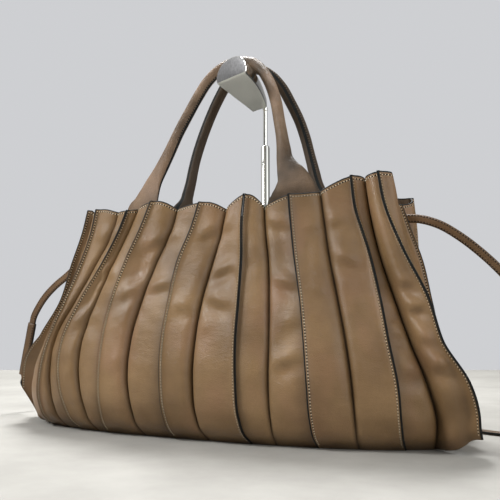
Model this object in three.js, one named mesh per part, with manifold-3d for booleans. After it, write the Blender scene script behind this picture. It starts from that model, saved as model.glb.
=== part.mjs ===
import * as THREE from "three";
import { mergeVertices } from "three/addons/utils/BufferGeometryUtils.js";
import Module from "manifold-3d";

// A pleated leather tote bag with two handles and a shoulder strap, held by a plain display stand.
// Millimetres. +X is the bag's right end, -Y its front and +Z up; the origin is the middle of the
// base panel's underside. Each leather panel runs from one seam ridge through a valley to the next.

const GAP = 0.3; // between neighbouring pieces
const OUTLINE_POWER = 2.5; // exponent of the superellipse that the ridges follow in plan
const RIM_HEIGHT = 225; // of a fold with no rise or dip of its own
const HEM_HEIGHT = 90; // a lifted hem fades out at this height
const BASE_THICKNESS = 3;
const BASE_MARGIN = 1; // between the base and the panels at their corners
const MITER_LIMIT = 0.6; // smallest share of an offset that a sharp corner of a panel's line keeps

// Rows of values become objects with the named columns.
function table(columns, rows) {
  const names = columns.split(" ");
  return rows.map((row) => Object.fromEntries(row.map((value, i) => [names[i], value])));
}

// Plan outline and wall at each height. pleat is how far a valley lies inside the outline, flange the
// width of the two raw edges sewn together at a ridge, wing the share of a corner ridge's wider flange,
// roundness the fullness of a lobe, and share mixes the foot and hip columns of the fold tables.
const LEVELS = table("name z halfLength halfDepth pleat flange wing wall roundness share", [
  ["foot", 0, 208, 64, 3, 2.5, 1, 2.4, 1.2],
  ["curl", 9, 224, 77, 6, 3.5, 1, 2.2, 1.7, 0.6],
  ["hip", 24, 235, 87, 9, 4, 1, 1.9, 2.2],
  ["belly", 55, 240, 92, 12, 4, 0.75, 1.7, 2.6],
  ["flank", 90, 229, 88, 12, 4, 0.4, 1.6, 2.5],
  ["waist", 125, 211, 80, 12, 4, 0.18, 1.6, 2.2],
  ["chest", 165, 187, 70, 12, 4, 0.06, 1.6, 1.8],
  ["neck", 200, 173, 63, 12, 4, 0, 1.6, 1.5],
  ["rim", 225, 168, 60, 12, 4, 0, 1.8, 1.3],
]);

// The folds of the front between its two corner ridges, right to left: x at each level, the height
// of the rim, and the angle in degrees by which a ridge leans over, positive towards the right.
const FRONT_FOLDS = table("kind foot hip belly flank waist chest neck rim top lean", [
  ["ridge", 184, 187, 186, 178, 169, 156, 143, 139, 234, -22],
  ["valley", 147, 149, 147, 141, 132, 121, 114, 110, 221],
  ["ridge", 114, 115, 114, 110, 104, 95, 89, 86, 219, 5],
  ["valley", 77, 78, 77, 76, 73, 68, 62, 60, 212],
  ["ridge", 55, 53, 52, 50, 49, 47, 44, 45, 221, -20],
  ["valley", 13, 8, 6, 6, 8, 14, 20, 23, 208],
  ["ridge", -22, -22, -23, -24, -22, -18, -7, -1, 216, 8],
  ["valley", -54, -59, -63, -62, -56, -46, -34, -29, 211],
  ["ridge", -98, -93, -92, -91, -87, -77, -63, -54, 220, 8],
  ["valley", -109, -115, -121, -120, -111, -97, -83, -73, 214],
  ["ridge", -132, -138, -144, -143, -129, -107, -91, -82, 213, 18],
  ["valley", -152, -157, -160, -157, -139, -121, -104, -98, 212],
  ["ridge", -178, -177, -173, -165, -152, -139, -130, -126, 217, 10],
]);

// The folds of the two ends: plan position [x, y] at each level, the height of the rim, the bearing in
// degrees that the fold faces at the foot and at the rim, and for a corner ridge the width of its sewn
// wing at the foot and the lift of its hem at the seam and at the tip.
const END_COLUMNS =
  "kind foot hip belly flank waist chest neck rim top footBearing rimBearing wing hemRoot hemTip";
const RIGHT_FRONT_FOLDS = table(END_COLUMNS, [
  [
    "valley", [207, -6], [218, -19], [207, -24], [192, -26], [183, -23], [177, -20], [171, -18], [165, -16],
    233, -18, -15,
  ],
  [
    "ridge", [247, -45], [246, -50], [240, -58], [221, -60], [209, -58], [187, -54], [171, -50], [165, -47],
    235, -40, -58, 24, 12, 14,
  ],
  [
    "valley", [204, -21], [209, -36], [204, -46], [190, -46], [176, -41], [161, -34], [152, -29], [148, -27],
    231, -62, -62,
  ],
]);
const LEFT_FRONT_FOLDS = table(END_COLUMNS, [
  [
    "valley", [-196, -26], [-197, -41], [-190, -50], [-173, -49], [-160, -43], [-150, -36], [-142, -30],
    [-136, -27], 213, -120, -118,
  ],
  [
    "ridge", [-219, -42], [-219, -42], [-213, -45], [-194, -46], [-172, -43], [-160, -40], [-149, -37],
    [-144, -35], 218, -142, -122, 14, 10, 36,
  ],
  [
    "valley", [-212, -9], [-215, -20], [-209, -24], [-190, -24], [-172, -22], [-163, -19], [-154, -16],
    [-147, -14], 210, -162, -165,
  ],
]);
const LEFT_END_FOLDS = table(END_COLUMNS, [
  [
    "ridge", [-215, 0], [-235, 0], [-228, 0], [-207, 0], [-188, 0], [-177, 0], [-168, 0], [-160, 0],
    209, 180, 180,
  ],
]);
const RIGHT_REAR_FOLDS = table(END_COLUMNS, [
  [
    "valley", [193, 26], [197, 40], [194, 46], [180, 45], [169, 40], [159, 34], [152, 30], [148, 28],
    222, 62, 62,
  ],
  [
    "ridge", [215, 42], [218, 47], [211, 53], [194, 54], [183, 52], [177, 50], [175, 48], [173, 45],
    222, 40, 58, 5, 6, 8,
  ],
  [
    "valley", [207, 6], [214, 18], [203, 24], [187, 24], [177, 22], [170, 20], [163, 17], [160, 16],
    212, 18, 15,
  ],
]);
const RIGHT_END_FOLDS = table(END_COLUMNS, [
  [
    "ridge", [208, 0], [232, 0], [226, 0], [208, 0], [200, 0], [192, 0], [181, 0], [174, 0],
    211, 0, 0,
  ],
]);

// Soft dents pressed into the lobes: middle, half sizes in plan and in height, and depth. The last one
// is negative, a fullness of the right gusset below its rim.
const DENTS = table("x y z halfWidth halfHeight depth", [
  [196, -50, 128, 18, 22, 6],
  [92, -65, 165, 16, 20, 4],
  [80, -85, 92, 14, 26, 4],
  [28, -69, 165, 14, 22, 4],
  [-62, -68, 160, 14, 20, 5],
  [-116, -71, 130, 14, 22, 4],
  [168, -27, 220, 9, 44, -15],
]);

// Places on a lobe between its valley (0) and its ridge (1).
const LOBE_STEPS = [0.16, 0.5];

// Centre line of each handle from its right tongue to its left one, with the section's size.
const HANDLE_SIDES = 10;
const HANDLE_SPLAY = { angle: 9, reach: 60 }; // turn of the tongues with the wall, full beyond this x
const HANDLE_COLUMNS = "x y z width thickness";
const FRONT_HANDLE = table(HANDLE_COLUMNS, [
  [88, -40.2, 200, 44, 2.5],
  [87, -40.1, 213, 49, 2.5],
  [85.5, -39.8, 226, 48, 2.6],
  [80, -37.2, 235, 37, 3],
  [74.5, -33.4, 244.5, 26, 4],
  [71.5, -28.6, 255, 18, 6.5],
  [69, -24, 266, 13.5, 9.5],
  [65, -18.6, 280, 11.6, 11],
  [60.5, -13, 294, 11, 11],
  [52, -3, 319, 11, 11],
  [41, 6, 341, 11, 11],
  [29, 13, 357, 11, 11],
  [18, 16.5, 365.4, 11, 11],
  [5.6, 17.5, 368.1, 11, 11],
  [-8, 16.5, 366.9, 11, 11],
  [-19, 14, 361, 11, 11],
  [-28, 10, 351, 11, 11],
  [-36, 3, 334, 11, 11],
  [-44, -5, 313, 11, 11],
  [-51, -14.5, 290, 11.2, 11],
  [-56, -22.5, 270, 12, 10.6],
  [-60, -30, 253, 14.5, 8],
  [-64.5, -35.8, 241, 22, 4.6],
  [-69.5, -40.4, 228, 37, 2.7],
  [-73, -41.9, 213, 42, 2.5],
  [-74, -42.1, 200, 40, 2.5],
]);
const REAR_HANDLE = table(HANDLE_COLUMNS, [
  [88, 40.2, 200, 44, 2.5],
  [87, 40.2, 212, 46, 2.5],
  [84, 40.9, 222, 41, 2.7],
  [80, 42.8, 231, 29, 3.6],
  [77, 44.7, 239, 18, 6],
  [74.4, 46.4, 247, 13, 9],
  [71.5, 48.2, 258, 11.6, 11],
  [67, 50.2, 273, 11, 11],
  [61.5, 52.5, 291, 11, 11],
  [54, 54, 311, 11, 11],
  [45, 53, 330, 11, 11],
  [36, 50, 347, 11, 11],
  [25, 46.5, 360, 11, 11],
  [13, 45.2, 366.9, 11, 11],
  [1, 45, 368.2, 11, 11],
  [-13, 46, 365.8, 11, 11],
  [-26, 48.5, 357, 11, 11],
  [-38, 52, 343, 11, 11],
  [-49, 55, 326, 11, 11],
  [-58.5, 54.5, 304, 11, 11],
  [-64.5, 52.4, 284, 11, 11],
  [-68, 50.2, 267, 11.2, 11],
  [-70, 48, 252, 12.5, 9.6],
  [-71.6, 46, 242, 17, 6.4],
  [-73, 43.9, 233, 28, 3.8],
  [-75, 42.2, 223, 40, 2.7],
  [-76.5, 41.8, 212, 45, 2.5],
  [-77, 42.1, 200, 42, 2.5],
]);

// Centre line of the shoulder strap, from the right gusset round the back to the left one. roll is the
// turn of its flat side in degrees, 0 with the width upright and 90 lying flat.
const STRAP = { width: 9, thickness: 3.4, step: 15 };
const STRAP_COLUMNS = "x y z roll";
const STRAP_ROUTES = {
  strap_right: table(STRAP_COLUMNS, [
    [166.9, 19.5, 200, 0],
    [185, 20, 199, 0],
    [203, 20, 193, 0],
    [219, 20, 183, 0],
    [238, 20, 167.5, 0],
    [256, 20, 149.5, 0],
    [276, 21, 124, 2],
    [295, 26, 97, 8],
    [309, 32, 70, 18],
    [317, 41, 45, 32],
    [318, 53, 25, 50],
    [311, 66, 11, 70],
    [299, 73.6, 4, 84],
    [284.4, 74.6, 2.1, 90],
  ]),
  strap_back: table(STRAP_COLUMNS, [
    [283.7, 74.6, 2.1, 90],
    [268, 74.8, 2, 90],
    [250, 73, 2, 90],
    [231, 79, 2, 90],
    [207, 97, 2, 90],
    [178, 128, 2, 90],
    [136, 165, 2, 90],
    [76, 198, 2, 90],
    [0, 209, 2, 90],
    [-80, 202, 2, 90],
    [-152, 174, 2, 90],
    [-196, 140, 2.2, 88],
    [-222, 108, 3.8, 76],
    [-240, 82, 7, 58],
    [-254, 60, 11.5, 38],
    [-264, 42, 18.5, 18],
    [-271, 29, 26, 5],
    [-273, 22, 35, 0],
    [-272, 20.7, 41.6, 0],
  ]),
  strap_left: table(STRAP_COLUMNS, [
    [-259.1, 20, 101.2, 0],
    [-257.3, 20, 107.5, 0],
    [-251, 20, 118.5, 0],
    [-241.5, 20, 130.5, 0],
    [-228, 20, 142.5, 0],
    [-212, 20, 153.5, 0],
    [-197, 20, 165, 0],
    [-183, 19.8, 178, 0],
    [-171, 19.2, 190, 0],
    [-159.8, 18.5, 196, 0],
  ]),
};
const SLEEVE = { width: 10.4, thickness: 4.8, bottom: [-271.8, 20.6, 42.2], top: [-259.2, 20, 100.6] };

// The stand's arm is a D section whose ends are cut askew: middle, half width and height at each place.
const ARM_UNDERSIDE = 341;
const ARM_SKEW = -0.58; // y gained per unit of x across the section
const ARM_POWER = 2.4;
const ARM_SIDES = 14;
const ARM_SECTIONS = table("x y halfWidth height", [
  [11.2, -18.7, 21.8, 20.6],
  [7, 10, 21, 20.6],
  [1.6, 39, 19.2, 20.6],
  [-5.6, 72, 15.6, 20.6],
  [-14.4, 105, 10.4, 19],
]);
const COLLAR = { radius: 4.4, bottom: 337.5, top: 357, sides: 12 };
const STEM = { x: -5, y: 101, rodRadius: 2.4, tubeRadius: 4.9, tubeTop: 298, taper: 3, sides: 12 };
const PLATE = { x: -5, y: 134, length: 110, depth: 100, thickness: 6, corner: 8, chamfer: 0.8 };

const LEATHER = { color: 0x96785a, roughness: 0.5, metalness: 0 };
const DARK_LEATHER = { color: 0x7a6353, roughness: 0.55, metalness: 0 };
const STEEL = { color: 0xc4c6c8, roughness: 0.22, metalness: 1 };

const root = new THREE.Group();
const wasm = await Module();
wasm.setup();

function mix(a, b, share) {
  return a + (b - a) * share;
}

function addMesh(name, geometry, finish) {
  const mesh = new THREE.Mesh(geometry, new THREE.MeshStandardMaterial(finish));
  mesh.name = name;
  root.add(mesh);
}

function toRadians(degrees) {
  return THREE.MathUtils.degToRad(degrees);
}

// A column of a fold's row at a level; a level with a share lies between the foot and the hip.
function column(fold, level) {
  if (level.share === undefined) return fold[level.name];
  if (!Array.isArray(fold.foot)) return mix(fold.foot, fold.hip, level.share);
  return fold.foot.map((value, axis) => mix(value, fold.hip[axis], level.share));
}

// The front half of the plan outline, inset by the given distance.
function outlineY(level, x, inset) {
  const reach = Math.abs(x) / (level.halfLength - inset);
  return -(level.halfDepth - inset) * (1 - reach ** OUTLINE_POWER) ** (1 / OUTLINE_POWER);
}

// The outward direction of the plan outline at a point of its front half, turned by the lean.
function outlineDirection(level, x, y, lean) {
  const slope = (value, half) => Math.sign(value) * Math.abs(value / half) ** (OUTLINE_POWER - 1) / half;
  const direction = new THREE.Vector2(slope(x, level.halfLength), slope(y, level.halfDepth)).normalize();
  return direction.rotateAround(new THREE.Vector2(), toRadians(lean));
}

// Height of a fold at a level: the rise or dip of its rim fades out downwards, its hem's lift upwards.
function foldHeight(fold, level, hem) {
  const rise = (fold.top - RIM_HEIGHT) * (level.z / RIM_HEIGHT) ** 3;
  const lift = hem * Math.max(0, 1 - level.z / HEM_HEIGHT);
  return level.z + rise + lift;
}

// Where a fold lies at a level: its plan point, the direction that it faces, and its height.
function placeFold(fold, level) {
  const value = column(fold, level);
  let at;
  let out;
  if (Array.isArray(value)) {
    at = new THREE.Vector2(...value);
    const bearing = toRadians(mix(fold.footBearing, fold.rimBearing, level.z / RIM_HEIGHT));
    out = new THREE.Vector2(Math.cos(bearing), Math.sin(bearing));
  } else {
    at = new THREE.Vector2(value, outlineY(level, value, fold.kind === "valley" ? level.pleat : 0));
    out = outlineDirection(level, at.x, at.y, fold.lean ?? 0);
  }
  if (fold.mirrored) {
    at.y = -at.y;
    out.y = -out.y;
  }
  const flange = level.flange + (fold.wing ?? 0) * level.wing;
  return {
    at,
    out,
    seam: at.clone().addScaledVector(out, -flange),
    side: new THREE.Vector2(out.y, -out.x),
    z: foldHeight(fold, level, fold.hemTip ?? 0),
    seamZ: foldHeight(fold, level, fold.hemRoot ?? 0),
  };
}

// How far the lobes are pressed in at a plan point and height; the rear has the same dents turned round.
function dentDepth(point, z) {
  const turn = point.y < 0 ? 1 : -1;
  return DENTS.reduce((sum, dent) => {
    const aside = Math.hypot(turn * point.x - dent.x, turn * point.y - dent.y) / dent.halfWidth;
    const above = (z - dent.z) / dent.halfHeight;
    return sum + dent.depth * Math.exp(-(aside ** 2) - above ** 2);
  }, 0);
}

// A point of the lobe between a valley (0) and a ridge's seam (1).
function lobePoint(valley, seam, seamZ, out, level, step) {
  const outward = valley.out.clone().add(out).normalize();
  const across = seam.clone().sub(valley.at);
  const depth = across.dot(outward);
  across.addScaledVector(outward, -depth);
  const z = mix(valley.z, seamZ, step);
  const point = valley.at.clone().addScaledVector(across, step);
  const bulge = depth * (1 - (1 - step) ** level.roundness);
  const dent = dentDepth(point, z) * Math.sin(Math.PI * step);
  point.addScaledVector(outward, bulge - dent);
  return { x: point.x, y: point.y, z };
}

// The middle line of a panel at a level, from the tip of its first ridge to the tip of its second.
function panelLine(first, valleyFold, second, level) {
  const valley = placeFold(valleyFold, level);
  const halfSeam = (level.wall + GAP) / 2;
  const edge = (fold, sign) => {
    const ridge = placeFold(fold, level);
    const tip = ridge.at.clone().addScaledVector(ridge.side, sign * halfSeam);
    const seam = ridge.seam.clone().addScaledVector(ridge.side, sign * halfSeam);
    const lobe = LOBE_STEPS.map((step) => lobePoint(valley, seam, ridge.seamZ, ridge.out, level, step));
    return [...lobe, { x: seam.x, y: seam.y, z: ridge.seamZ }, { x: tip.x, y: tip.y, z: ridge.z }];
  };
  const middle = { x: valley.at.x, y: valley.at.y, z: valley.z };
  return [...edge(first, 1).reverse(), middle, ...edge(second, -1)];
}

// Moves each point of a line sideways in plan; a positive distance goes to the left of its direction.
function offsetLine(line, distance) {
  const left = (a, b) => new THREE.Vector2(a.y - b.y, b.x - a.x).normalize();
  return line.map((point, i) => {
    const before = i > 0 ? left(line[i - 1], point) : left(point, line[i + 1]);
    const after = i < line.length - 1 ? left(point, line[i + 1]) : before;
    const corner = before.clone().add(after).normalize();
    const reach = distance / Math.max(MITER_LIMIT, corner.dot(before));
    return new THREE.Vector3(point.x + corner.x * reach, point.y + corner.y * reach, point.z);
  });
}

class Shell {
  constructor() {
    this.positions = [];
    this.index = [];
  }
  add(point) {
    this.positions.push(point.x, point.y, point.z);
    return this.positions.length / 3 - 1;
  }
  quad(a, b, c, d, turned = false) {
    this.index.push(...(turned ? [a, b, d, b, c, d] : [a, b, c, a, c, d]));
  }
  geometry() {
    const made = new THREE.BufferGeometry();
    made.setAttribute("position", new THREE.Float32BufferAttribute(this.positions, 3));
    made.setIndex(this.index);
    return made;
  }
}

// A sheet between an outer and an inner grid of points, rows upwards; its diagonals mirror at mid-width.
function sheetGeometry(outerRows, innerRows) {
  const shell = new Shell();
  const outer = outerRows.map((row) => row.map((point) => shell.add(point)));
  const inner = innerRows.map((row) => row.map((point) => shell.add(point)));
  const top = outer.length - 1;
  const last = outer[0].length - 1;
  for (let j = 0; j < top; j++) {
    for (let k = 0; k < last; k++) {
      const turned = k >= last / 2;
      shell.quad(outer[j][k], outer[j + 1][k], outer[j + 1][k + 1], outer[j][k + 1], turned);
      shell.quad(inner[j][k], inner[j][k + 1], inner[j + 1][k + 1], inner[j + 1][k], turned);
    }
    shell.quad(outer[j][0], inner[j][0], inner[j + 1][0], outer[j + 1][0]);
    shell.quad(outer[j][last], outer[j + 1][last], inner[j + 1][last], inner[j][last]);
  }
  for (let k = 0; k < last; k++) {
    shell.quad(outer[0][k], outer[0][k + 1], inner[0][k + 1], inner[0][k]);
    shell.quad(outer[top][k], inner[top][k], inner[top][k + 1], outer[top][k + 1]);
  }
  return shell.geometry();
}

function makePanel(name, first, valley, second) {
  const lines = LEVELS.map((level) => ({ level, line: panelLine(first, valley, second, level) }));
  const outer = lines.map(({ level, line }) => offsetLine(line, level.wall / 2));
  const inner = lines.map(({ level, line }) => offsetLine(line, -level.wall / 2));
  addMesh(name, sheetGeometry(outer, inner), LEATHER);
}

// All folds in order round the bag, from the right front corner over the front, left, rear and right.
function foldRing() {
  const mirrored = (folds) => folds.map((fold) => ({ ...fold, mirrored: true })).reverse();
  const [rightGusset, ...rightFront] = RIGHT_FRONT_FOLDS;
  const left = [...LEFT_FRONT_FOLDS, ...LEFT_END_FOLDS, ...mirrored(LEFT_FRONT_FOLDS)];
  const right = [...RIGHT_REAR_FOLDS, ...RIGHT_END_FOLDS, rightGusset];
  return [...rightFront, ...FRONT_FOLDS, ...left, ...mirrored(FRONT_FOLDS), ...right];
}

const ring = foldRing();
const ringNames = [
  ...Array.from({ length: 8 }, (_, i) => "panel_front_" + (i + 1)),
  "panel_left_front",
  "panel_left_rear",
  ...Array.from({ length: 8 }, (_, i) => "panel_rear_" + (8 - i)),
  "panel_right_rear",
  "panel_right_front",
];
ringNames.forEach((name, i) => {
  makePanel(name, ring[2 * i], ring[2 * i + 1], ring[(2 * i + 2) % ring.length]);
});

// The base fills the ring of the panels' feet; the sewn wings of the corners stay outside it.
function makeBase() {
  const foot = LEVELS[0];
  const inset = foot.wall / 2 + BASE_MARGIN;
  const corners = ring.filter((fold) => fold.wing === undefined).map((fold) => {
    const place = placeFold(fold, foot);
    return place.at.addScaledVector(place.out, -inset - (fold.kind === "ridge" ? foot.flange : 0));
  });
  const shape = new THREE.Shape(corners);
  const base = new THREE.ExtrudeGeometry(shape, { depth: BASE_THICKNESS, bevelEnabled: false });
  addMesh("base_panel", base, DARK_LEATHER);
}
makeBase();

// A closed bar through rings of points; each ring turns anticlockwise seen from its far side.
function barGeometry(rings) {
  const shell = new Shell();
  const rows = rings.map((points) => points.map((point) => shell.add(point)));
  const sides = rows[0].length;
  for (let s = 0; s < rows.length - 1; s++) {
    for (let k = 0; k < sides; k++) {
      const next = (k + 1) % sides;
      shell.quad(rows[s][k], rows[s][next], rows[s + 1][next], rows[s + 1][k]);
    }
  }
  const end = rows[rows.length - 1];
  for (let k = 1; k < sides - 1; k++) {
    shell.index.push(rows[0][0], rows[0][k + 1], rows[0][k]);
    shell.index.push(end[0], end[k], end[k + 1]);
  }
  return shell.geometry();
}

// Section axes along a line: thick points the way of the guide as far as the line lets it.
function sectionAxes(points, i, guide) {
  const before = points[Math.max(i - 1, 0)];
  const after = points[Math.min(i + 1, points.length - 1)];
  const along = after.clone().sub(before).normalize();
  const thick = guide.clone().addScaledVector(along, -guide.dot(along)).normalize();
  return { wide: thick.clone().cross(along), thick };
}

function makeHandle(name, rows, side) {
  const points = rows.map((row) => new THREE.Vector3(row.x, row.y, row.z));
  const rings = rows.map((row, i) => {
    const splay = HANDLE_SPLAY.angle * THREE.MathUtils.clamp(row.x / HANDLE_SPLAY.reach, -1, 1);
    const bearing = toRadians(side * (90 - splay));
    const guide = new THREE.Vector3(Math.cos(bearing), Math.sin(bearing), 0);
    const { wide, thick } = sectionAxes(points, i, guide);
    return Array.from({ length: HANDLE_SIDES }, (_, k) => {
      const angle = ((k + 0.5) / HANDLE_SIDES) * 2 * Math.PI;
      return points[i]
        .clone()
        .addScaledVector(wide, (Math.cos(angle) * row.width) / 2)
        .addScaledVector(thick, (Math.sin(angle) * row.thickness) / 2);
    });
  });
  addMesh(name, barGeometry(rings), DARK_LEATHER);
}
makeHandle("handle_front", FRONT_HANDLE, -1);
makeHandle("handle_rear", REAR_HANDLE, 1);

// A flat band along a curve; rollAt gives its roll in degrees at a share of its length.
function bandGeometry(curve, steps, rollAt, { width, thickness }) {
  const corners = [[1, 1], [-1, 1], [-1, -1], [1, -1]];
  const rings = Array.from({ length: steps + 1 }, (_, i) => {
    const point = curve.getPointAt(i / steps);
    const along = curve.getTangentAt(i / steps);
    const flat = new THREE.Vector3(along.y, -along.x, 0).normalize();
    const upright = flat.clone().cross(along);
    const roll = toRadians(rollAt(i / steps));
    const wide = upright.multiplyScalar(Math.cos(roll)).addScaledVector(flat, Math.sin(roll));
    const thick = along.clone().cross(wide);
    return corners.map(([w, t]) => {
      const corner = point.clone().addScaledVector(wide, (w * width) / 2);
      return corner.addScaledVector(thick, (t * thickness) / 2);
    });
  });
  return barGeometry(rings);
}

function makeStrap(name, rows) {
  const route = rows.map((row) => new THREE.Vector3(row.x, row.y, row.z));
  const curve = new THREE.CatmullRomCurve3(route, false, "centripetal");
  const steps = Math.round(curve.getLength() / STRAP.step);
  const rollAt = (share) => {
    const place = curve.getUtoTmapping(share) * (rows.length - 1);
    const row = Math.min(Math.floor(place), rows.length - 2);
    return mix(rows[row].roll, rows[row + 1].roll, place - row);
  };
  addMesh(name, bandGeometry(curve, steps, rollAt, STRAP), LEATHER);
}
Object.entries(STRAP_ROUTES).forEach(([name, rows]) => makeStrap(name, rows));

function makeSleeve() {
  const axis = new THREE.LineCurve3(new THREE.Vector3(...SLEEVE.bottom), new THREE.Vector3(...SLEEVE.top));
  addMesh("strap_sleeve", bandGeometry(axis, 1, () => 0, SLEEVE), LEATHER);
}
makeSleeve();

// Joins closed geometries into one.
function join(parts) {
  const solids = parts.map((part) => {
    const bare = new THREE.BufferGeometry().setAttribute("position", part.getAttribute("position"));
    bare.setIndex(part.index);
    const merged = mergeVertices(bare, 1e-4);
    return new wasm.Manifold(
      new wasm.Mesh({
        numProp: 3,
        vertProperties: new Float32Array(merged.attributes.position.array),
        triVerts: new Uint32Array(merged.index.array),
      }),
    );
  });
  const made = solids.reduce((whole, solid) => whole.add(solid)).getMesh();
  const geometry = new THREE.BufferGeometry();
  geometry.setAttribute("position", new THREE.Float32BufferAttribute(made.vertProperties, 3));
  geometry.setIndex(new THREE.Uint32BufferAttribute(made.triVerts, 1));
  return geometry;
}

function armRing(section) {
  return Array.from({ length: ARM_SIDES + 1 }, (_, k) => {
    const angle = Math.PI * (1 - k / ARM_SIDES);
    const power = 2 / ARM_POWER;
    const across = Math.sign(Math.cos(angle)) * Math.abs(Math.cos(angle)) ** power * section.halfWidth;
    const up = Math.sin(angle) ** power * section.height;
    return new THREE.Vector3(section.x + across, section.y + across * ARM_SKEW, ARM_UNDERSIDE + up);
  });
}

function makeStand() {
  const arm = barGeometry(ARM_SECTIONS.map(armRing));
  const collarHeight = COLLAR.top - COLLAR.bottom;
  const collar = new THREE.CylinderGeometry(COLLAR.radius, COLLAR.radius, collarHeight, COLLAR.sides);
  collar.rotateX(Math.PI / 2);
  collar.translate(STEM.x, STEM.y, (COLLAR.top + COLLAR.bottom) / 2);
  addMesh("stand_arm", join([arm, collar]), STEEL);

  const stemTop = COLLAR.bottom - GAP;
  const stemFoot = PLATE.thickness + GAP;
  const profile = [
    new THREE.Vector2(0, stemFoot),
    new THREE.Vector2(STEM.tubeRadius, stemFoot),
    new THREE.Vector2(STEM.tubeRadius, STEM.tubeTop - STEM.taper),
    new THREE.Vector2(STEM.rodRadius, STEM.tubeTop),
    new THREE.Vector2(STEM.rodRadius, stemTop),
    new THREE.Vector2(0, stemTop),
  ];
  const stem = new THREE.LatheGeometry(profile, STEM.sides);
  stem.rotateX(Math.PI / 2);
  stem.translate(STEM.x, STEM.y, 0);
  addMesh("stand_stem", stem, STEEL);

  const halfLength = PLATE.length / 2 - PLATE.chamfer;
  const halfDepth = PLATE.depth / 2 - PLATE.chamfer;
  const outline = new THREE.Shape();
  outline.absarc(halfLength - PLATE.corner, halfDepth - PLATE.corner, PLATE.corner, 0, Math.PI / 2);
  outline.absarc(PLATE.corner - halfLength, halfDepth - PLATE.corner, PLATE.corner, Math.PI / 2, Math.PI);
  outline.absarc(PLATE.corner - halfLength, PLATE.corner - halfDepth, PLATE.corner, Math.PI, 1.5 * Math.PI);
  outline.absarc(halfLength - PLATE.corner, PLATE.corner - halfDepth, PLATE.corner, -Math.PI / 2, 0);
  const plate = new THREE.ExtrudeGeometry(outline, {
    depth: PLATE.thickness - 2 * PLATE.chamfer,
    bevelThickness: PLATE.chamfer,
    bevelSize: PLATE.chamfer,
    bevelSegments: 1,
    curveSegments: 4,
  });
  plate.translate(PLATE.x, PLATE.y, PLATE.chamfer);
  addMesh("stand_plate", plate, STEEL);
}
makeStand();

export default root;
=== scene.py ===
# A pleated leather tote bag with rolled handles and a shoulder strap, held by a plain display stand.
import math

import bpy
import numpy as np
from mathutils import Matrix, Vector, noise


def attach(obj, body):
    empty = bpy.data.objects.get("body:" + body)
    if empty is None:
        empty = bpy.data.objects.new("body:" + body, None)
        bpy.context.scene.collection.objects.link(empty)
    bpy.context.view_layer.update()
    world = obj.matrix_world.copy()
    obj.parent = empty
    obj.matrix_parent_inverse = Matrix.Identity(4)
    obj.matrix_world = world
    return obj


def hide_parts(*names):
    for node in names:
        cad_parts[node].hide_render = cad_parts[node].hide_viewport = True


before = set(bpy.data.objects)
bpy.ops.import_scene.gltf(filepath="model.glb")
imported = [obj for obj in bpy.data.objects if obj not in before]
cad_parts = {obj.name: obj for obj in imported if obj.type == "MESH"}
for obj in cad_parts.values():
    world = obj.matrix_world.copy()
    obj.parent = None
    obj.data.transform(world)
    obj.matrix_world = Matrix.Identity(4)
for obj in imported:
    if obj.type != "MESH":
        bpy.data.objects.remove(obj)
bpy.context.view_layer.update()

# All sizes are millimetres until a mesh is made. +X is the bag's right end, -Y its front, +Z up.
MM = 0.001
GAP = 0.3  # between neighbouring pieces
OUTLINE_POWER = 2.5
RIM_HEIGHT = 225
HEM_HEIGHT = 90
MITER_LIMIT = 0.6
CREASE_GAP = 1.0  # half the distance between the two lobes at the bottom of a valley
FIN_WALL = 1.1  # the leather is pared thin where two panels are sewn together
RAW_EDGE = 0.3  # width of the paint that wraps round a raw edge
EDGE_SEAM = 1.9  # from a raw edge to its line of stitches
FILLET = 0.28  # share of a lobe that bends up into the sewn edge
THREAD = {"pitch": 2.6, "length": 1.15, "radius": 0.5}


# Rows of values become dictionaries with the named columns.
def table(columns, rows):
    names = columns.split()
    return [dict(zip(names, row)) for row in rows]


# Plan outline and wall at each height. pleat is how far a valley lies inside the outline, flange the
# width of the sewn raw edges at a ridge, wing the share of a corner ridge's wider flange, roundness the
# fullness of a lobe, and share mixes the foot and hip columns of the fold tables.
LEVELS = table("name z half_length half_depth pleat flange wing wall roundness share", [
    ["foot", 0, 208, 64, 3, 2.5, 1, 2.4, 1.2],
    ["curl", 9, 224, 77, 6, 3.5, 1, 2.2, 1.7, 0.6],
    ["hip", 24, 235, 87, 9, 4.4, 1, 1.9, 2.2],
    ["belly", 55, 240, 92, 12, 4.8, 0.75, 1.7, 2.6],
    ["flank", 90, 229, 88, 12, 4.8, 0.4, 1.6, 2.5],
    ["waist", 125, 211, 80, 12, 4.8, 0.18, 1.6, 2.2],
    ["chest", 165, 187, 70, 12, 4.8, 0.06, 1.6, 1.8],
    ["neck", 200, 173, 63, 12, 4.6, 0, 1.6, 1.5],
    ["rim", 225, 168, 60, 12, 4.4, 0, 1.8, 1.3],
])
KNOTS = np.array([level["z"] for level in LEVELS], float)

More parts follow.
